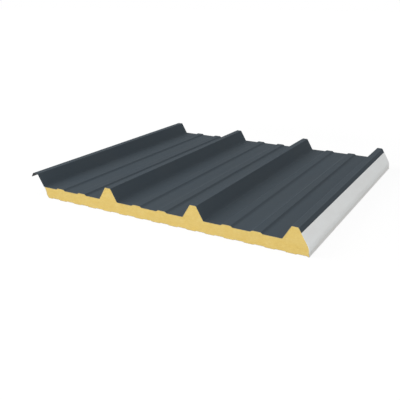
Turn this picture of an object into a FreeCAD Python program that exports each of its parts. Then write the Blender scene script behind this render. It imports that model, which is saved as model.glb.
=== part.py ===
import FreeCAD, Part
import os
from math import hypot, sin, tan

# Insulated roof sandwich panel: a ribbed outer sheet, a rigid foam core and a micro-ribbed liner,
# with a tape over the foam on each long side. The first rib is empty, and laps over the last,
# foam-filled rib of the next panel.
# X runs across the width, Y along the ribs, Z up. Millimetres. The section is drawn from the
# middle of the first rib and from the lowest plane of the liner, then centred.

# cover and thickness
cover_width = 1000.0      # first rib to last rib, and panel to panel
panel_length = 1000.0
rib_count = 4
thickness = 40.0          # in the pans, over both sheets
sheet = 0.5               # outer sheet and liner
bend = 2.0                # inside radius of the outer sheet's bends

# major ribs
rib_height = 45.0
rib_top = 22.0
rib_base = 75.5
nest_gap = 0.5            # all round the last rib, under the next panel's first rib
lap_drop = 15.0           # crown to the tip of the lap flange
underlap_drop = 16.6      # crown to the edge of the sheet on the last rib
underlap_bend = 6.0

# minor ribs, two in each pan
minor_spacing = 98.6
minor_height = 4.5
minor_top = 26.0
minor_base = 41.0

# liner
bead_count = 15
bead_height = 2.1
bead_top = 28.8
bead_base = 37.8
first_flat = 16.3         # from the left corner to the first bead
last_flat = 2.1           # from the last bead to the right corner
liner_bend = 0.8
lip_height = 12.0         # edges turned up over the foam
lip_lean = 9.0            # left corner, in from the left side's face
lip_reach = 47.5          # right corner, from the middle of the last rib

# long sides of the foam
tape = 1.0
tape_margin = 0.5         # bare foam between the tape and the liner's lip
side_reach = 45.0         # right side, from the middle of the last rib
side_bend = 30.0
joint_gap = 2.0           # between neighbouring panels
shoulder_step = 4.0       # left side leans in above its foot, then steeply in above its shoulder
shoulder_height = 31.0
shoulder_foot = 16.0
shoulder_bend = 5.0

rib_pitch = cover_width / (rib_count - 1)
crown = thickness + rib_height
web_slope = (rib_base - rib_top) / 2 / rib_height
nest_inset = sheet + nest_gap


# A path is a list of corners (x, z, radius), with the radius of the arc that rounds the corner.
# Paths run from left to right and down the right side, so a parallel lies below or inside.

def fold(middle, level, height, base, top, inside_bend):
    """Corners of a flat-topped rib pressed up from a flat stretch of sheet."""
    return [
        (middle - base / 2, level, inside_bend),
        (middle - top / 2, level + height, inside_bend + sheet),
        (middle + top / 2, level + height, inside_bend + sheet),
        (middle + base / 2, level, inside_bend),
    ]


def parallel(path, offset):
    """The path moved to its right by offset, with its bends kept concentric."""
    steps = []
    for (x, z, _), (next_x, next_z, _) in zip(path, path[1:]):
        length = hypot(next_x - x, next_z - z)
        steps.append(((next_x - x) / length, (next_z - z) / length))
    moved = []
    for (x, z, radius), (ax, az), (bx, bz) in zip(path, steps[:1] + steps, steps + steps[-1:]):
        mitre = offset / (1 + ax * bx + az * bz)
        if radius > 0:
            left_turn = ax * bz > az * bx
            radius += offset if left_turn else -offset
        moved.append((x + (az + bz) * mitre, z - (ax + bx) * mitre, radius))
    return moved


def extruded(corners):
    """Closed path with its corners rounded, extruded along the ribs."""
    points = [FreeCAD.Vector(x, 0, z) for x, z, _ in corners]
    edges, runs = [], []
    for i, corner in enumerate(points):
        radius = corners[i][2]
        back = (points[i - 1] - corner).normalize()
        ahead = (points[(i + 1) % len(points)] - corner).normalize()
        half_angle = back.getAngle(ahead) / 2
        enter = corner + back * (radius / tan(half_angle))
        leave = corner + ahead * (radius / tan(half_angle))
        if radius > 0:
            middle = corner + (back + ahead).normalize() * radius * (1 / sin(half_angle) - 1)
            edges.append(Part.Arc(enter, middle, leave).toShape())
        runs.append((enter, leave))
    for (_, leave), (enter, _) in zip(runs, runs[1:] + runs[:1]):
        edges.append(Part.makeLine(leave, enter))
    face = Part.Face(Part.Wire(Part.__sortEdges__(edges)))
    return face.extrude(FreeCAD.Vector(0, panel_length, 0))


def strip(path, width):
    """Sheet or tape between a path and its parallel."""
    return extruded(path + parallel(path, width)[::-1])


def nested_base(inset):
    """Base width of a rib that lies inset under the web of a full one."""
    return rib_base - 2 * inset * hypot(web_slope, 1)


# upper face of the outer sheet, from the tip of the lap flange to the edge on the last rib
first_rib = fold(0, thickness, rib_height, rib_base, rib_top, bend)
lap_tip = (first_rib[1][0] - web_slope * lap_drop, crown - lap_drop, 0)
outer_top = [lap_tip] + first_rib[1:]
for pan in range(rib_count - 1):
    pan_middle = (pan + 0.5) * rib_pitch
    for middle in (pan_middle - minor_spacing / 2, pan_middle + minor_spacing / 2):
        outer_top += fold(middle, thickness, minor_height, minor_base, minor_top, bend)
    if pan < rib_count - 2:
        middle = (pan + 1) * rib_pitch
        outer_top += fold(middle, thickness, rib_height, rib_base, rib_top, bend)

last_height = rib_height - nest_inset
last_base = nested_base(nest_inset)
last_rib = fold(
    cover_width, thickness, last_height, last_base, last_base - 2 * web_slope * last_height, bend
)
crown_edge = last_rib[2][0]
outer_top += last_rib[:2] + [
    (crown_edge, crown - nest_inset, underlap_bend + sheet),
    (crown_edge + web_slope * (underlap_drop - nest_inset), crown - underlap_drop, 0),
]
outer_under = parallel(outer_top, sheet)

# upper face of the liner, from lip to lip
right_face = cover_width + side_reach
left_face = side_reach + joint_gap + 2 * tape
left_corner = left_face + lip_lean
right_corner = cover_width + lip_reach
first_bead = left_corner + first_flat + bead_base / 2
last_bead = right_corner - last_flat - bead_base / 2
bead_pitch = (last_bead - first_bead) / (bead_count - 1)
liner_top = [(left_face, lip_height, 0), (left_corner, sheet, liner_bend)]
for bead in range(bead_count):
    middle = first_bead + bead * bead_pitch
    liner_top += fold(middle, sheet, bead_height, bead_base, bead_top, liner_bend)
liner_top += [(right_corner, sheet, liner_bend), (right_face, lip_height, 0)]

# long sides of the foam: the left one rises to the foot of the first rib, and the right one
# carries on down from the web of the last rib
left_side = [
    (left_face, lip_height + tape_margin, 0),
    (left_face, shoulder_foot, shoulder_bend),
    (left_face - shoulder_step, shoulder_height, shoulder_bend),
    (rib_base / 2 + bend, thickness - sheet, 0),
]
web_foot = cover_width + nested_base(nest_inset + sheet) / 2
right_side = [
    outer_under[-1],
    (right_face, thickness - (right_face - web_foot) / web_slope, side_bend),
    (right_face, lip_height + tape_margin, 0),
]
over_first_pan = outer_under[len(first_rib):-1]

parts = {
    "outer_sheet": strip(outer_top, sheet),
    "foam_core": extruded(left_side[1:] + over_first_pan + right_side[1:2] + liner_top[::-1]),
    "liner_sheet": strip(liner_top, sheet),
    "left_side_tape": strip(left_side, -tape),
    "right_side_tape": strip(right_side, -tape),
}

overall = Part.makeCompound(list(parts.values())).BoundBox
centring = FreeCAD.Vector(-overall.Center.x, -overall.Center.y, -overall.ZMin)

os.makedirs("parts", exist_ok=True)
for name, shape in parts.items():
    shape.translate(centring)
    shape.exportStep("parts/" + name + ".step")
    print(name, round(shape.Volume / 1000, 1), "cm3")
print("overall", round(overall.XLength, 2), round(overall.YLength, 2), round(overall.ZLength, 2))
print("first rib at", round(centring.x, 3))
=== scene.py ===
import math
import random

import bpy
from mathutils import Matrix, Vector, noise
from mathutils.geometry import delaunay_2d_cdt
from mathutils.kdtree import KDTree


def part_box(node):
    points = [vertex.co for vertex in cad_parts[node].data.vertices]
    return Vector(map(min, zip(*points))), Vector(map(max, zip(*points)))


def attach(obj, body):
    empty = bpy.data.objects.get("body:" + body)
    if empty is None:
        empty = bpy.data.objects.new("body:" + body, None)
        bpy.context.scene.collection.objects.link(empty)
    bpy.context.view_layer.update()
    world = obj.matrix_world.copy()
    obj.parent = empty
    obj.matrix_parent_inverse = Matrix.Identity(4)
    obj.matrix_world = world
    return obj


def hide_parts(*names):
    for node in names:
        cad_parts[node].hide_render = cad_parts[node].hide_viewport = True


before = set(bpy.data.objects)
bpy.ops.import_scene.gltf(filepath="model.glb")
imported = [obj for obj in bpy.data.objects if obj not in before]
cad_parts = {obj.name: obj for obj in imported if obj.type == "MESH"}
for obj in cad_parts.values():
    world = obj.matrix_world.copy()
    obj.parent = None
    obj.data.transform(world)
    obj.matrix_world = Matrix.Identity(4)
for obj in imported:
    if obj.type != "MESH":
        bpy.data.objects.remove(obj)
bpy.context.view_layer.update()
print("frame loaded:", sorted(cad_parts))

# The section is drawn in mm, x from the middle of the first rib and z from the liner's lowest plane,
# as corners (x, z, radius of the bend) that run from left to right.
mm = 0.001
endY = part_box("outer_sheet")[1].y      # the near end is at -endY
panel = {"coverWidth": 1000.0, "thickness": 40.0, "sheet": 0.5, "length": 2 * endY / mm}

stripMesh = {
    "edgeSteps": (0.35, 1.0, 2.5, 5.0),              # closer points by the long edges, mm
    "edgeShare": 0.8,                                # only on this share of a short flat
    "endSteps": (0.0, 0.3, 1.0, 3.0, 7.0, 14.0),     # closer rows by the cut ends, mm
    "fullBend": 60.0,                                # degrees of turn at which a bend's mark is full: painted highlight and paler stretched paint outside a bend, dust inside a fold
    "straightEnd": 25.0,                             # mm from a cut end over which waves fade out
    "raggedScale": 0.6, "raggedSeed": 3.1,           # tooth of the cut ends
    "edgeReach": 3.0,                                # mm in from an edge that wear reaches
    "sharpAngle": 35.0,
}


def fold(middle, level, height, base, top, bend):
    # a flat-topped rib pressed up from the flat
    outside = bend + panel["sheet"]
    return [
        (middle - base / 2, level, bend),
        (middle - top / 2, level + height, outside),
        (middle + top / 2, level + height, outside),
        (middle + base / 2, level, bend),
    ]


def bendArcs(corners):
    # where each bend starts and stops, its centre and its radius
    points = [Vector((x, z)) for x, z, _ in corners]
    arcs = []
    for i in range(1, len(points) - 1):
        back = (points[i - 1] - points[i]).normalized()
        ahead = (points[i + 1] - points[i]).normalized()
        half = back.angle(ahead) / 2
        radius = corners[i][2]
        reach = radius / math.tan(half)
        centre = points[i] + (back + ahead).normalized() * (radius / math.sin(half))
        arcs.append((points[i] + back * reach, points[i] + ahead * reach, centre, radius))
    return arcs


def sampleFlat(start, stop, flatStep, startSteps, stopSteps):
    # points along a straight run, with more of them near a free edge
    length = (stop - start).length
    along = (stop - start).normalized()
    count = max(1, math.ceil(length / flatStep))
    room = length * stripMesh["edgeShare"]
    cuts = {length * k / count for k in range(count + 1)}
    cuts |= {step for step in startSteps if step < room}
    cuts |= {length - step for step in stopSteps if step < room}
    places = [start + along * cut for cut in sorted(cuts)]
    return [(place.x, place.y, -along.y, along.x, 0.0) for place in places]


def sampleArc(enter, leave, centre, radius, arcStep):
    # points round a bend, without the two where it meets the flats
    a, b = enter - centre, leave - centre
    turn = math.atan2(a.x * b.y - a.y * b.x, a.dot(b))
    side = -1 if turn > 0 else 1      # 1 where the upper face is outside the bend
    steps = max(2, round(abs(math.degrees(turn)) / arcStep))
    stretch = side * min(1.0, abs(math.degrees(turn)) / stripMesh["fullBend"])
    samples = []
    for k in range(1, steps):
        angle = math.atan2(a.y, a.x) + turn * k / steps
        out = Vector((math.cos(angle), math.sin(angle)))
        place = centre + out * radius
        bent = stretch * math.sin(math.pi * k / steps)
        samples.append((place.x, place.y, out.x * side, out.y * side, bent))
    return samples


def sweepCorners(corners, arcStep, flatStep, edgeSteps=stripMesh["edgeSteps"]):
    # corners become points (x, z, normal x, normal z, bend)
    # bend goes from -1 where the upper face is inside a fold to 1 where it runs round the outside of it
    start, startSteps = Vector(corners[0][:2]), edgeSteps
    samples = []
    for enter, leave, centre, radius in bendArcs(corners):
        samples += sampleFlat(start, enter, flatStep, startSteps, ())
        samples += sampleArc(enter, leave, centre, radius, arcStep)
        start, startSteps = leave, ()
    return samples + sampleFlat(start, Vector(corners[-1][:2]), flatStep, (), edgeSteps)


def spread(length, step):
    # rows along the ribs, closer together by both cut ends
    ends = stripMesh["endSteps"]
    span = length - 2 * ends[-1]
    count = max(1, round(span / step))
    middle = [ends[-1] + span * k / count for k in range(count + 1)]
    return sorted(set(list(ends) + middle + [length - end for end in ends]))


def ripple(x, y, scale, seed):
    # three octaves, each with twice the waves and half the height of the last
    return noise.fractal(Vector((x * scale, y * scale, seed)), 1.0, 2.0, 3)


def placed(x, y, z):
    # from the section's mm, with y from the near end, to the frame's metres
    return ((panel["firstRibX"] + x) * mm, y * mm - endY, z * mm)


def makeStrip(name, samples, thickness, part, lift):
    # a strip between its upper face and the face one thickness below
    # material slots: 0 upper face, 1 lower face, 2 cut edges
    n = len(samples)
    runAt = [0.0]      # way along the section to each sample
    for a, b in zip(samples, samples[1:]):
        runAt.append(runAt[-1] + math.hypot(b[0] - a[0], b[1] - a[1]))
    rows = spread(panel["length"], part["rowStep"])
    verts, bend, edge = [], [], []
    for y in rows:
        fromEnd = min(y, rows[-1] - y)
        calm = min(1.0, fromEnd / stripMesh["straightEnd"])
        for run, (x, z, nx, nz, b) in zip(runAt, samples):
            off = lift(x, y, b) * calm
            inset = 0.0
            if fromEnd == 0:
                tooth = noise.noise(Vector((run * stripMesh["raggedScale"], y, stripMesh["raggedSeed"])))
                inset = part["ragged"] * (0.5 + 0.5 * tooth)
            place = y + inset if y < rows[-1] / 2 else y - inset
            near = min(fromEnd, run, runAt[-1] - run)
            for drop in (0.0, thickness):
                verts.append(placed(x + nx * (off - drop), place, z + nz * (off - drop)))
                bend.append(b if drop == 0 else -b)
                edge.append(max(0.0, 1.0 - near / stripMesh["edgeReach"]))
    faces, slots = [], []

    def at(row, i, low):
        return (row * n + i) * 2 + low

    for r in range(len(rows) - 1):
        for i in range(n - 1):
            faces.append((at(r, i, 0), at(r, i + 1, 0), at(r + 1, i + 1, 0), at(r + 1, i, 0)))
            faces.append((at(r, i, 1), at(r + 1, i, 1), at(r + 1, i + 1, 1), at(r, i + 1, 1)))
            slots += [0, 1]
        for i, flip in ((0, False), (n - 1, True)):
            quad = (at(r, i, 0), at(r + 1, i, 0), at(r + 1, i, 1), at(r, i, 1))
            faces.append(quad[::-1] if flip else quad)
            slots.append(2)
    for r, flip in ((0, False), (len(rows) - 1, True)):
        for i in range(n - 1):
            quad = (at(r, i, 0), at(r, i, 1), at(r, i + 1, 1), at(r, i + 1, 0))
            faces.append(quad[::-1] if flip else quad)
            slots.append(2)
    return addMesh(name, verts, faces, slots, {"bend": bend, "edge": edge}, stripMesh["sharpAngle"])


def addMesh(name, verts, faces, slots, attributes, sharpAngle):
    mesh = bpy.data.meshes.new(name)
    mesh.from_pydata(verts, [], faces)
    mesh.polygons.foreach_set("material_index", slots)
    mesh.polygons.foreach_set("use_smooth", [True] * len(faces))
    for key, values in attributes.items():
        mesh.attributes.new(key, "FLOAT", "POINT").data.foreach_set("value", values)
    mesh.set_sharp_from_angle(angle=math.radians(sharpAngle))
    mesh.validate()
    obj = bpy.data.objects.new(name, mesh)
    bpy.context.scene.collection.objects.link(obj)
    return obj


def newFinish(name, look):
    mat = bpy.data.materials.new(name)
    mat.use_nodes = True
    tree = mat.node_tree
    shader = tree.nodes["Principled BSDF"]
    shader.inputs["Base Color"].default_value = (*look["color"], 1)
    shader.inputs["Roughness"].default_value = look["roughness"]
    shader.inputs["Specular IOR Level"].default_value = look["specular"]
    mat.diffuse_color = (*look["color"], 1)
    return mat, tree, shader


def node(tree, kind, **settings):
    # settings that aren't sockets are the node's own properties
    made = tree.nodes.new(kind)
    for key, value in settings.items():
        if key in made.inputs:
            made.inputs[key].default_value = value
        else:
            setattr(made, key, value)
    return made


def grain(tree, scale, stretch=(1, 1, 1), detail=3.0, rough=0.55):
    # noise with its scale in waves a metre; a small factor in stretch draws it out along that axis
    coords = node(tree, "ShaderNodeTexCoord")
    mapping = node(tree, "ShaderNodeMapping", Scale=stretch)
    made = node(tree, "ShaderNodeTexNoise", Scale=scale, Detail=detail, Roughness=rough)
    tree.links.new(coords.outputs["Object"], mapping.inputs["Vector"])
    tree.links.new(mapping.outputs["Vector"], made.inputs["Vector"])
    return made.outputs["Fac"]


def ranged(tree, value, low, high, outLow=0.0, outHigh=1.0):
    made = node(tree, "ShaderNodeMapRange", clamp=True)
    for key, number in (("From Min", low), ("From Max", high), ("To Min", outLow), ("To Max", outHigh)):
        made.inputs[key].default_value = number
    tree.links.new(value, made.inputs["Value"])
    return made.outputs["Result"]


def patches(tree, low, high, **settings):
    # grain that sets in at low and is full at high
    return ranged(tree, grain(tree, **settings), low, high)


def calc(tree, operation, a, b):
    made = node(tree, "ShaderNodeMath", operation=operation)
    for i, value in enumerate((a, b)):
        if isinstance(value, (int, float)):
            made.inputs[i].default_value = value
        else:
            tree.links.new(value, made.inputs[i])
    return made.outputs[0]


def times(tree, a, b):
    return calc(tree, "MULTIPLY", a, b)


def plus(tree, a, b):
    return calc(tree, "ADD", a, b)


def blendColor(tree, factor, a, b):
    # sockets of the colour mix: 0 factor, 6 and 7 the two colours, 2 the result
    made = node(tree, "ShaderNodeMix", data_type="RGBA")
    tree.links.new(factor, made.inputs[0])
    for i, value in ((6, a), (7, b)):
        if isinstance(value, tuple):
            made.inputs[i].default_value = (*value, 1)
        else:
            tree.links.new(value, made.inputs[i])
    return made.outputs[2]


def bump(tree, shader, *layers):
    # layers of (height, (strength, depth in mm)), each on top of the last
    previous = None
    for height, (strength, depth) in layers:
        made = node(tree, "ShaderNodeBump", Strength=strength, Distance=depth * mm)
        tree.links.new(height, made.inputs["Height"])
        if previous:
            tree.links.new(previous, made.inputs["Normal"])
        previous = made.outputs["Normal"]
    tree.links.new(previous, shader.inputs["Normal"])


def attribute(tree, name):
    return node(tree, "ShaderNodeAttribute", attribute_name=name).outputs["Fac"]


coating = {      # the grain of every coil coating; colours and amounts are with each sheet
    "clouds": {"scale": 9.0, "low": 0.3, "high": 0.7},
    "streaks": {"scale": 420.0, "stretch": (1, 0.012, 1), "detail": 4.0, "low": 0.3, "high": 0.7},
    "bendMarkSpan": (0.1, 1.0),      # bend at which the painted highlight and the paling of stretched paint set in, and are full; the same, negated, for dust in folds
    "dust": {"scale": 60.0, "stretch": (1, 0.15, 1), "detail": 5.0, "low": 0.42, "high": 0.72},
    "dustInFolds": 0.6, "dustOnFlats": 0.25,
    "chips": {"scale": 650.0, "detail": 4.0, "low": 0.56, "high": 0.62},
    "chippedSpots": {"scale": 45.0, "detail": 2.0, "low": 0.52, "high": 0.64},
    "chippedEdge": (0.5, 0.9),
    "cloudRoughness": 0.05, "dustRoughness": 0.25, "streakRoughness": 0.03,      # added to the sheet's
    "peel": {"scale": 700.0, "detail": 2.0}, "peelBump": (0.22, 0.05),
    "drawn": {"scale": 500.0, "stretch": (1, 0.02, 1), "detail": 3.0}, "drawnBump": (0.035, 0.04),
}


def sheetPaint(name, look):
    # mottled a little, streaked along the rolling direction, paler along the outer bends, partly paint paled by
    # stretching and partly a painted highlight, dusty in the folds, and chipped to the primer in spots along
    # its edges
    mat, tree, shader = newFinish(name, look)
    clouds = patches(tree, **coating["clouds"])
    streaks = patches(tree, **coating["streaks"])
    tone = blendColor(tree, clouds, look["color"], look["warmColor"])
    tone = blendColor(tree, times(tree, streaks, look["streak"]), tone, look["paleColor"])
    bend = attribute(tree, "bend")
    start, full = coating["bendMarkSpan"]
    # painted highlight along the outer bends, laid over the paint's own slight paling where the bend stretches
    # it
    tone = blendColor(tree, ranged(tree, bend, start, full, 0.0, look["bendPaleAndHighlight"]), tone, look["paleColor"])
    folds = times(tree, ranged(tree, bend, -start, -full), coating["dustInFolds"])
    dust = times(tree, plus(tree, folds, coating["dustOnFlats"]), patches(tree, **coating["dust"]))
    tone = blendColor(tree, times(tree, dust, look["dust"]), tone, look["dustColor"])
    worn = ranged(tree, attribute(tree, "edge"), *coating["chippedEdge"])
    worn = times(tree, worn, patches(tree, **coating["chips"]))
    worn = times(tree, worn, patches(tree, **coating["chippedSpots"]))
    tree.links.new(blendColor(tree, worn, tone, look["primer"]), shader.inputs["Base Color"])
    rough = plus(tree, times(tree, clouds, coating["cloudRoughness"]), look["roughness"])
    rough = plus(tree, rough, times(tree, dust, coating["dustRoughness"]))
    rough = plus(tree, rough, times(tree, streaks, coating["streakRoughness"]))
    tree.links.new(rough, shader.inputs["Roughness"])
    peel = grain(tree, **coating["peel"])
    drawn = grain(tree, **coating["drawn"])
    bump(tree, shader, (peel, coating["peelBump"]), (drawn, coating["drawnBump"]))
    return mat


cutEdge = {
    "color": (0.34, 0.35, 0.36), "darkColor": (0.12, 0.125, 0.13),
    "roughness": 0.42, "tornRoughness": 0.67, "specular": 0.5, "metallic": 0.9,
    "torn": {"scale": 1500.0, "detail": 4.0, "low": 0.35, "high": 0.65}, "tornBump": (0.4, 0.08),
}


def cutSteel(name, look):
    mat, tree, shader = newFinish(name, look)
    shader.inputs["Metallic"].default_value = look["metallic"]
    torn = patches(tree, **look["torn"])
    tree.links.new(blendColor(tree, torn, look["color"], look["darkColor"]), shader.inputs["Base Color"])
    rough = ranged(tree, torn, 0, 1, look["roughness"], look["tornRoughness"])
    tree.links.new(rough, shader.inputs["Roughness"])
    bump(tree, shader, (torn, look["tornBump"]))
    return mat


cutEdgeFinish = cutSteel("galvanised cut edge", cutEdge)
print("cut edge finish ready")

outerSheet = {
    "ribCount": 4, "ribHeight": 45.0, "ribTop": 22.0, "ribBase": 75.5, "bend": 2.0,
    "nestInset": 1.0,                                                # last rib, under the next panel's first
    "lapDrop": 15.0, "underlapDrop": 16.6, "underlapBend": 6.0,      # free edges, down from the crown
    "minorSpacing": 98.6, "minorHeight": 4.5, "minorTop": 26.0, "minorBase": 41.0,
    "arcStep": 9.0, "flatStep": 12.0, "rowStep": 14.0,               # mesh, in degrees, mm and mm
    "ragged": 0.12,                                                  # depth of the cut ends' tooth
    "panWave": 0.16,                                                 # how far the pans sink here and there
    "waveScale": 0.011, "waveAlong": 0.45, "waveSeed": 7.0,
    "paint": {
        "color": (0.051, 0.066, 0.080), "warmColor": (0.056, 0.070, 0.082),
        # the bend amount is a painted highlight along the outer bends, with some paling of stretched paint
        "paleColor": (0.092, 0.112, 0.130), "streak": 0.03, "bendPaleAndHighlight": 0.50,
        "dust": 0.10, "dustColor": (0.16, 0.155, 0.14), "primer": (0.30, 0.31, 0.30),
        "roughness": 0.60, "specular": 0.03,
    },
    "backCoat": {
        "color": (0.034, 0.036, 0.038), "warmColor": (0.040, 0.041, 0.041),
        "paleColor": (0.07, 0.072, 0.072), "streak": 0.12, "bendPaleAndHighlight": 0.2,
        "dust": 0.12, "dustColor": (0.2, 0.19, 0.17), "primer": (0.30, 0.31, 0.30),
        "roughness": 0.55, "specular": 0.3,
    },
}


def outerSection(part):
    level, crown = panel["thickness"], panel["thickness"] + part["ribHeight"]
    slope = (part["ribBase"] - part["ribTop"]) / 2 / part["ribHeight"]
    pitch = panel["coverWidth"] / (part["ribCount"] - 1)
    rib = (level, part["ribHeight"], part["ribBase"], part["ribTop"], part["bend"])
    minor = (level, part["minorHeight"], part["minorBase"], part["minorTop"], part["bend"])
    first = fold(0, *rib)
    corners = [(first[1][0] - slope * part["lapDrop"], crown - part["lapDrop"], 0)] + first[1:]
    for bay in range(part["ribCount"] - 1):
        for side in (-0.5, 0.5):
            corners += fold((bay + 0.5) * pitch + side * part["minorSpacing"], *minor)
        if bay < part["ribCount"] - 2:
            corners += fold((bay + 1) * pitch, *rib)
    height = part["ribHeight"] - part["nestInset"]
    base = part["ribBase"] - 2 * part["nestInset"] * math.hypot(slope, 1)
    last = fold(panel["coverWidth"], level, height, base, base - 2 * slope * height, part["bend"])
    crownX, crownZ, _ = last[2]
    edgeX = crownX + slope * (part["underlapDrop"] - part["nestInset"])
    return corners + last[:2] + [
        (crownX, crownZ, part["underlapBend"] + panel["sheet"]),
        (edgeX, crown - part["underlapDrop"], 0),
    ]


def panLift(x, y, bend):
    # the flats sink a little here and there, and the folds stay straight
    flatness = 1 - min(1.0, abs(bend) * 2)
    wave = ripple(x, y * outerSheet["waveAlong"], outerSheet["waveScale"], outerSheet["waveSeed"])
    return -outerSheet["panWave"] * (0.5 + 0.5 * wave) * flatness


outerCorners = outerSection(outerSheet)
panel["firstRibX"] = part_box("outer_sheet")[0].x / mm - outerCorners[0][0]      # puts the section in its place
outerPoints = sweepCorners(outerCorners, outerSheet["arcStep"], outerSheet["flatStep"])
outer = makeStrip("outer_sheet_formed", outerPoints, panel["sheet"], outerSheet, panLift)
outer.data.materials.append(sheetPaint("anthracite coil coating", outerSheet["paint"]))
outer.data.materials.append(sheetPaint("grey back coat", outerSheet["backCoat"]))
outer.data.materials.append(cutEdgeFinish)
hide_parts("outer_sheet")
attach(outer, "root")
print("outer sheet:", len(outer.data.polygons), "faces")

linerSheet = {
    "beadCount": 15, "beadHeight": 2.1, "beadTop": 28.8, "beadBase": 37.8, "bend": 0.8,
    "leftCorner": 58.0, "rightCorner": 1047.5,      # where the lips turn up
    "firstFlat": 16.3, "lastFlat": 2.1,             # from those corners to the nearest beads
    "leftFace": 49.0, "rightFace": 1045.0, "lipHeight": 12.0,
    "arcStep": 8.0, "flatStep": 14.0, "rowStep": 40.0,
    "ragged": 0.12,
    "paint": {
        "color": (0.74, 0.745, 0.725), "warmColor": (0.765, 0.765, 0.735),
        "paleColor": (0.80, 0.80, 0.78), "streak": 0.2, "bendPaleAndHighlight": 0.25,
        "dust": 0.25, "dustColor": (0.42, 0.39, 0.33), "primer": (0.36, 0.36, 0.35),
        "roughness": 0.38, "specular": 0.4,
    },
}


def linerSection(part):
    bead = (panel["sheet"], part["beadHeight"], part["beadBase"], part["beadTop"], part["bend"])
    firstBead = part["leftCorner"] + part["firstFlat"] + part["beadBase"] / 2
    lastBead = part["rightCorner"] - part["lastFlat"] - part["beadBase"] / 2
    corners = [(part["leftFace"], part["lipHeight"], 0), (part["leftCorner"], panel["sheet"], part["bend"])]
    for k in range(part["beadCount"]):
        corners += fold(firstBead + (lastBead - firstBead) * k / (part["beadCount"] - 1), *bead)
    return corners + [
        (part["rightCorner"], panel["sheet"], part["bend"]),
        (part["rightFace"], part["lipHeight"], 0),
    ]


def noLift(x, y, bend):
    return 0.0


linerCorners = linerSection(linerSheet)
linerPoints = sweepCorners(linerCorners, linerSheet["arcStep"], linerSheet["flatStep"])
liner = makeStrip("liner_sheet_formed", linerPoints, panel["sheet"], linerSheet, noLift)
linerPaint = sheetPaint("grey white liner coating", linerSheet["paint"])
for finish in (linerPaint, linerPaint, cutEdgeFinish):
    liner.data.materials.append(finish)
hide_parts("liner_sheet")
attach(liner, "root")
print("liner:", len(liner.data.polygons), "faces")

sideTape = {
    "thickness": 1.0,
    "margin": 0.5,                          # bare foam above the liner's lips
    "shoulderStep": 4.0, "shoulderHeight": 31.0, "shoulderFoot": 16.0, "shoulderBend": 5.0,      # left side
    "sideBend": 30.0,                       # right side, where it carries on from the last rib's web
    "arcStep": 4.0, "flatStep": 5.0, "rowStep": 7.0,
    "ragged": 0.3,
    "wave": 0.22, "waveSink": 0.6,          # how unevenly it lies, and how far it is pressed in
    "waveScale": 0.02, "waveAcross": 0.4, "waveSeed": 2.0,
    "color": (0.888, 0.912, 0.912), "shadeColor": (0.845, 0.852, 0.84), "grimeColor": (0.50, 0.48, 0.43),
    "clouds": {"scale": 22.0, "stretch": (1, 0.5, 1), "low": 0.3, "high": 0.7}, "cloudShade": 0.7,
    "fibres": {"scale": 260.0, "stretch": (1, 0.25, 1), "detail": 6.0, "rough": 0.7,
               "low": 0.35, "high": 0.65},
    "fibreShade": 0.25,
    "grime": {"scale": 90.0, "detail": 6.0, "low": 0.45, "high": 0.7}, "grimeAmount": 0.45,
    "grimyEdge": (0.1, 1.0),
    "roughness": 0.55, "fibreRoughness": 0.70, "specular": 0.35,
    "dents": {"scale": 45.0, "stretch": (1, 0.6, 1), "detail": 3.0}, "dentBump": (0.35, 0.5),
    "crepe": {"scale": 600.0, "stretch": (1, 0.35, 1), "detail": 4.0}, "crepeBump": (0.3, 0.08),
}


def tapeFinish(look):
    # white facing: fine crepe across, faint clouds, a little grime along its edges
    mat, tree, shader = newFinish("white side tape", look)
    clouds = patches(tree, **look["clouds"])
    fibres = patches(tree, **look["fibres"])
    tone = blendColor(tree, times(tree, clouds, look["cloudShade"]), look["color"], look["shadeColor"])
    tone = blendColor(tree, times(tree, fibres, look["fibreShade"]), tone, look["shadeColor"])
    edge = ranged(tree, attribute(tree, "edge"), *look["grimyEdge"])
    grime = times(tree, edge, patches(tree, **look["grime"]))
    tone = blendColor(tree, times(tree, grime, look["grimeAmount"]), tone, look["grimeColor"])
    tree.links.new(tone, shader.inputs["Base Color"])
    rough = ranged(tree, fibres, 0, 1, look["roughness"], look["fibreRoughness"])
    tree.links.new(rough, shader.inputs["Roughness"])
    dents = grain(tree, **look["dents"])
    crepe = grain(tree, **look["crepe"])
    bump(tree, shader, (dents, look["dentBump"]), (crepe, look["crepeBump"]))
    return mat


def tapeLift(x, y, bend):
    wave = ripple(x * sideTape["waveAcross"], y, sideTape["waveScale"], sideTape["waveSeed"])
    return sideTape["wave"] * (wave - sideTape["waveSink"])


def foamSides(part):
    # the foam's long sides, which carry the tapes
    foot = linerSheet["lipHeight"] + part["margin"]
    left = [
        (linerSheet["leftFace"], foot, 0),
        (linerSheet["leftFace"], part["shoulderFoot"], part["shoulderBend"]),
        (linerSheet["leftFace"] - part["shoulderStep"], part["shoulderHeight"], part["shoulderBend"]),
        (outerSheet["ribBase"] / 2 + outerSheet["bend"], panel["thickness"] - panel["sheet"], 0),
    ]
    webTop, webEnd = Vector(outerCorners[-2][:2]), Vector(outerCorners[-1][:2])
    along = (webEnd - webTop).normalized()
    top = webEnd + Vector((along.y, -along.x)) * panel["sheet"]
    turnZ = top.y + along.y / along.x * (linerSheet["rightFace"] - top.x)
    right = [
        (top.x, top.y, 0),
        (linerSheet["rightFace"], turnZ, part["sideBend"]),
        (linerSheet["rightFace"], foot, 0),
    ]
    return left, right


def makeTape(name, foamSide, cadNode):
    t = sideTape["thickness"]
    inside = sweepCorners(foamSide, sideTape["arcStep"], sideTape["flatStep"])
    outside = [(x + nx * t, z + nz * t, nx, nz, b) for x, z, nx, nz, b in inside]
    tape = makeStrip(name, outside, t, sideTape, tapeLift)
    for _ in range(3):      # upper face, lower face and cut edges
        tape.data.materials.append(tapeWhite)
    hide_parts(cadNode)
    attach(tape, "root")


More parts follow.
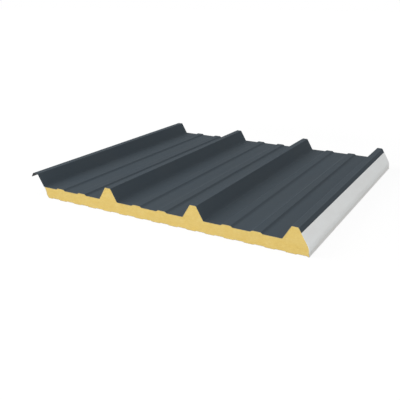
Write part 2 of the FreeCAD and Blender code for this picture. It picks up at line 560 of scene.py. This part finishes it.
tapeWhite = tapeFinish(sideTape)
leftSide, rightSide = foamSides(sideTape)
makeTape("left_side_tape_laid", leftSide, "left_side_tape")
makeTape("right_side_tape_laid", rightSide, "right_side_tape")
print("side tapes laid")

foamCore = {
    "sheetArcStep": 12.0, "sideArcStep": 6.0, "flatStep": 4.0,      # points of the outline
    "closest": 0.15,                        # mm between them at least
    "intoTape": 0.3,                        # mm, so that no gap shows
    "grain": 1.7, "rowSpacing": 0.87,       # points of a cut face: mm, and rows as a share of it
    "jitter": 0.25, "edgeRoom": 0.8,        # shares of it too
    "sideRoom": 0.5,                        # mm
    "seed": 11,
    "recess": 0.45,                         # mm that the cut faces lie behind the ends of the sheets
    "seat": 3.0,                            # mm from the sheets over which the relief sets in
    "relief": 0.16, "coarseScale": 0.12, "fineScale": 0.45, "fineShare": 0.6,
    "coarseSeed": 4.0, "fineSeed": 8.0, "farEndSeed": 9.0,
    "sawDepth": 0.05, "sawRate": 1.9, "sawLean": 0.03,
    "pits": 260, "pitSize": (0.9, 2.6), "pitDepth": 0.35,
    "skinReach": 4.0, "sharpAngle": 50.0,
    "color": (0.78, 0.575, 0.175), "paleColor": (0.82, 0.635, 0.23), "deepColor": (0.67, 0.45, 0.105),
    "skinColor": (0.70, 0.53, 0.19), "poreColor": (0.52, 0.33, 0.07),
    "clouds": {"scale": 38.0, "stretch": (1, 1, 1.6), "detail": 5.0, "low": 0.32, "high": 0.68},
    "flow": {"scale": 120.0, "stretch": (1, 1, 2.5), "detail": 4.0, "low": 0.35, "high": 0.65},
    "flowAmount": 0.3, "skinned": (0.15, 1.0), "skinAmount": 0.55,
    "cellScale": 900.0, "cellWall": 0.55, "poreAmount": 0.22,
    "roughness": 0.85, "paleRoughness": 0.95, "specular": 0.15,
    "saw": {"scale": 700.0, "stretch": (0.03, 1, 1), "detail": 3.0},
    "sawBump": (0.35, 0.15), "wallBump": (0.5, 0.25), "flowBump": (0.4, 0.3),
}


def beside(corners, arcStep, offset):
    # points of the path, moved to its upper side by offset
    points = sweepCorners(corners, arcStep, foamCore["flatStep"], ())
    return [Vector((x + nx * offset, z + nz * offset)) for x, z, nx, nz, _ in points]


def foamOutline():
    # once round the foam, half way into both sheets and a little into the tapes
    halfSheet, into = panel["sheet"] / 2, foamCore["intoTape"]
    startX = outerSheet["ribBase"] / 2 + outerSheet["bend"]
    over = [p for p in beside(outerCorners, foamCore["sheetArcStep"], -halfSheet) if p.x > startX]
    right = beside(rightSide, foamCore["sideArcStep"], into)
    under = beside(linerCorners, foamCore["sheetArcStep"], -halfSheet)
    left = beside(leftSide, foamCore["sideArcStep"], -into)
    loop = over + right + under[::-1] + left
    spaced = [p for last, p in zip(loop[-1:] + loop, loop) if (p - last).length > foamCore["closest"]]
    return spaced[::-1]


def fillPoints(loop, nearEdge, rng):
    # staggered rows of points inside the outline, each point moved a little
    step, jitter, room = foamCore["grain"], foamCore["jitter"], foamCore["sideRoom"]
    lowX, highZ = min(p.x for p in loop), max(p.y for p in loop)
    points = []
    row, z = 0, 0.0
    while z < highZ:
        crossings = []
        for a, b in zip(loop, loop[1:] + loop[:1]):
            if (a.y > z) != (b.y > z):
                crossings.append(a.x + (b.x - a.x) * (z - a.y) / (b.y - a.y))
        crossings.sort()
        for a, b in zip(crossings[::2], crossings[1::2]):
            x = lowX + (row % 2) * step / 2 + math.ceil((a - lowX) / step) * step
            while x < b - room:
                spotX = x + rng.uniform(-jitter, jitter) * step
                spotZ = z + rng.uniform(-jitter, jitter) * step
                spot = Vector((spotX, spotZ))
                gap = nearEdge.find((spot.x, spot.y, 0))[2]
                if gap > step * foamCore["edgeRoom"] and a + room < spot.x < b - room:
                    points.append(spot)
                x += step
        z += step * foamCore["rowSpacing"]
        row += 1
    return points


def scatterPits(loop, rng):
    lowX, highX = min(p.x for p in loop), max(p.x for p in loop)
    highZ = max(p.y for p in loop)
    pits = KDTree(foamCore["pits"])
    sizes = []
    for k in range(foamCore["pits"]):
        pits.insert((rng.uniform(lowX, highX), rng.uniform(1, highZ), 0), k)
        sizes.append(rng.uniform(*foamCore["pitSize"]))
    pits.balance()
    return pits, sizes


def cutDepth(point, gap, end, pits, sizes):
    # how far the cut face lies behind the ends of the sheets, where gap is the way to its outline
    shift = foamCore["farEndSeed"] * end
    coarse = ripple(point.x, point.y, foamCore["coarseScale"], foamCore["coarseSeed"] + shift)
    fine = ripple(point.x, point.y, foamCore["fineScale"], foamCore["fineSeed"] + shift)
    saw = math.sin(point.y * foamCore["sawRate"] + point.x * foamCore["sawLean"])
    rough = foamCore["relief"] * (coarse + foamCore["fineShare"] * fine) + foamCore["sawDepth"] * saw
    for _, pit, away in pits.find_range((point.x, point.y, 0), foamCore["pitSize"][1]):
        if away < sizes[pit]:
            rough += foamCore["pitDepth"] * sizes[pit] * (1 - (away / sizes[pit]) ** 2)
    return foamCore["recess"] + rough * min(1.0, gap / foamCore["seat"])


def makeFoam():
    rng = random.Random(foamCore["seed"])
    loop = foamOutline()
    edges = [(k, (k + 1) % len(loop)) for k in range(len(loop))]
    nearEdge = KDTree(len(loop))
    for k, point in enumerate(loop):
        nearEdge.insert((point.x, point.y, 0), k)
    nearEdge.balance()
    points = loop + fillPoints(loop, nearEdge, rng)
    flat, _, triangles, _, _, _ = delaunay_2d_cdt(points, edges, [], 1, 1e-5)      # 1 keeps what is inside
    verts, skin, faces = [], [], []
    for end in (0, 1):
        pits, sizes = scatterPits(loop, rng)
        first = len(verts)
        for point in flat:
            gap = nearEdge.find((point.x, point.y, 0))[2]
            depth = cutDepth(point, gap, end, pits, sizes)
            y = depth if end == 0 else panel["length"] - depth
            verts.append(placed(point.x, y, point.y))
            skin.append(max(0.0, 1.0 - gap / foamCore["skinReach"]))
        for a, b, c in triangles:
            facing = (flat[b] - flat[a]).cross(flat[c] - flat[a]) > 0
            triangle = (first + a, first + b, first + c)
            faces.append(triangle if facing == (end == 0) else triangle[::-1])
    back = len(flat)
    for a, b in edges:
        faces.append((b, a, back + a, back + b))
    return addMesh("foam_core_cut", verts, faces, [0] * len(faces), {"skin": skin}, foamCore["sharpAngle"])


def foamFinish(look):
    # rigid foam: fine cells, clouds from the rise, denser skin against the facings, fine saw lines
    mat, tree, shader = newFinish("cut rigid foam", look)
    clouds = patches(tree, **look["clouds"])
    flow = patches(tree, **look["flow"])
    tone = blendColor(tree, clouds, look["color"], look["paleColor"])
    tone = blendColor(tree, times(tree, flow, look["flowAmount"]), tone, look["deepColor"])
    skin = ranged(tree, attribute(tree, "skin"), *look["skinned"])
    tone = blendColor(tree, times(tree, skin, look["skinAmount"]), tone, look["skinColor"])
    coords = node(tree, "ShaderNodeTexCoord")
    cells = node(tree, "ShaderNodeTexVoronoi", Scale=look["cellScale"])
    tree.links.new(coords.outputs["Object"], cells.inputs["Vector"])
    walls = ranged(tree, cells.outputs["Distance"], 0.0, look["cellWall"])
    pores = times(tree, calc(tree, "SUBTRACT", 1.0, walls), look["poreAmount"])
    tree.links.new(blendColor(tree, pores, tone, look["poreColor"]), shader.inputs["Base Color"])
    rough = ranged(tree, clouds, 0, 1, look["roughness"], look["paleRoughness"])
    tree.links.new(rough, shader.inputs["Roughness"])
    saw = grain(tree, **look["saw"])
    bump(tree, shader, (saw, look["sawBump"]), (walls, look["wallBump"]), (flow, look["flowBump"]))
    return mat


foam = makeFoam()
foam.data.materials.append(foamFinish(foamCore))
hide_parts("foam_core")
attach(foam, "root")
print("foam core:", len(foam.data.polygons), "faces")

studio = {      # metres and watts
    "floorSize": 60.0, "floorColor": 0.68,
    "floorShow": 0.12,                      # how much of the shadow shows on the white floor
    "nearGlow": 0.885, "farGlow": 0.95,     # how white it is near the panel and away from it
    "glowReach": (0.9, 3.0),
    "ambient": 0.58,
    "lamps": {
        "side key": {"towards": (-0.76, -0.25, 0.54), "power": 185.0, "size": 4.0, "distance": 6.0},
        "front fill": {"towards": (0.11, -0.79, 0.61), "power": 21.5, "size": 2.0, "distance": 2.8},
        "back rim": {"towards": (0.30, 0.80, 0.50), "power": 14.0, "size": 2.5, "distance": 5.0},
    },
}


def seenDirectly(tree):
    # 1 for camera, mirror and glass rays, 0 for light spread by matt surfaces
    path = node(tree, "ShaderNodeLightPath")
    total = plus(tree, path.outputs["Is Camera Ray"], path.outputs["Is Glossy Ray"])
    total = plus(tree, total, path.outputs["Is Transmission Ray"])
    return calc(tree, "MINIMUM", total, 1.0)


def showEither(tree, outputKind, lighting, seen):
    # one shader lights the panel, the other is what the camera and reflections see
    mix = node(tree, "ShaderNodeMixShader")
    out = node(tree, outputKind)
    tree.links.new(seenDirectly(tree), mix.inputs[0])
    tree.links.new(lighting.outputs[0], mix.inputs[1])
    tree.links.new(seen.outputs[0], mix.inputs[2])
    tree.links.new(mix.outputs[0], out.inputs["Surface"])


def grey(level):
    return (level, level, level, 1)


def makeFloor():
    half = studio["floorSize"] / 2
    mesh = bpy.data.meshes.new("studio_floor")
    corners = [(-half, -half, 0), (half, -half, 0), (half, half, 0), (-half, half, 0)]
    mesh.from_pydata(corners, [], [(0, 1, 2, 3)])
    floor = bpy.data.objects.new("studio_floor", mesh)
    bpy.context.scene.collection.objects.link(floor)
    mat = bpy.data.materials.new("white studio floor")
    mat.use_nodes = True
    tree = mat.node_tree
    tree.nodes.clear()
    lit = node(tree, "ShaderNodeBsdfDiffuse", Color=grey(studio["floorColor"]))
    shown = node(tree, "ShaderNodeBsdfDiffuse", Color=grey(studio["floorShow"]))
    coords = node(tree, "ShaderNodeTexCoord")
    away = node(tree, "ShaderNodeVectorMath", operation="LENGTH")
    tree.links.new(coords.outputs["Object"], away.inputs[0])
    near, far = studio["glowReach"]
    strength = ranged(tree, away.outputs["Value"], near, far, studio["nearGlow"], studio["farGlow"])
    glow = node(tree, "ShaderNodeEmission", Color=grey(1))
    tree.links.new(strength, glow.inputs["Strength"])
    both = node(tree, "ShaderNodeAddShader")
    tree.links.new(shown.outputs[0], both.inputs[0])
    tree.links.new(glow.outputs[0], both.inputs[1])
    showEither(tree, "ShaderNodeOutputMaterial", lit, both)
    mesh.materials.append(mat)


def makeWorld():
    world = bpy.data.worlds.new("soft studio")
    bpy.context.scene.world = world
    world.use_nodes = True
    tree = world.node_tree
    tree.nodes.clear()
    soft = node(tree, "ShaderNodeBackground", Color=grey(1), Strength=studio["ambient"])
    white = node(tree, "ShaderNodeBackground", Color=grey(1), Strength=1.0)
    showEither(tree, "ShaderNodeOutputWorld", soft, white)


def addLamp(name, towards, power, size, distance):
    data = bpy.data.lights.new(name, "AREA")
    data.shape = "DISK"
    data.size = size
    data.energy = power
    lamp = bpy.data.objects.new(name, data)
    direction = Vector(towards).normalized()
    lamp.location = direction * distance
    lamp.rotation_euler = direction.to_track_quat("Z", "Y").to_euler()
    bpy.context.scene.collection.objects.link(lamp)


makeFloor()
makeWorld()
for name, settings in studio["lamps"].items():
    addLamp(name, **settings)
print("studio lit")

view = {      # metres and degrees, and mm for the lens and its sensor
    "place": (0.97346, -1.87490, 0.68440), "turn": 30.02, "down": 19.96,
    "lens": 50.0, "sensor": 36.0, "nearest": 0.01, "farthest": 200.0,
}
camData = bpy.data.cameras.new("camera")
camData.lens = view["lens"]
camData.sensor_width = view["sensor"]
camData.clip_start = view["nearest"]
camData.clip_end = view["farthest"]
camera = bpy.data.objects.new("camera", camData)
camera.location = view["place"]
camera.rotation_euler = (math.radians(90 - view["down"]), 0, math.radians(view["turn"]))
bpy.context.scene.collection.objects.link(camera)
bpy.context.scene.camera = camera
bpy.context.scene.view_settings.view_transform = "Standard"
print("camera placed")
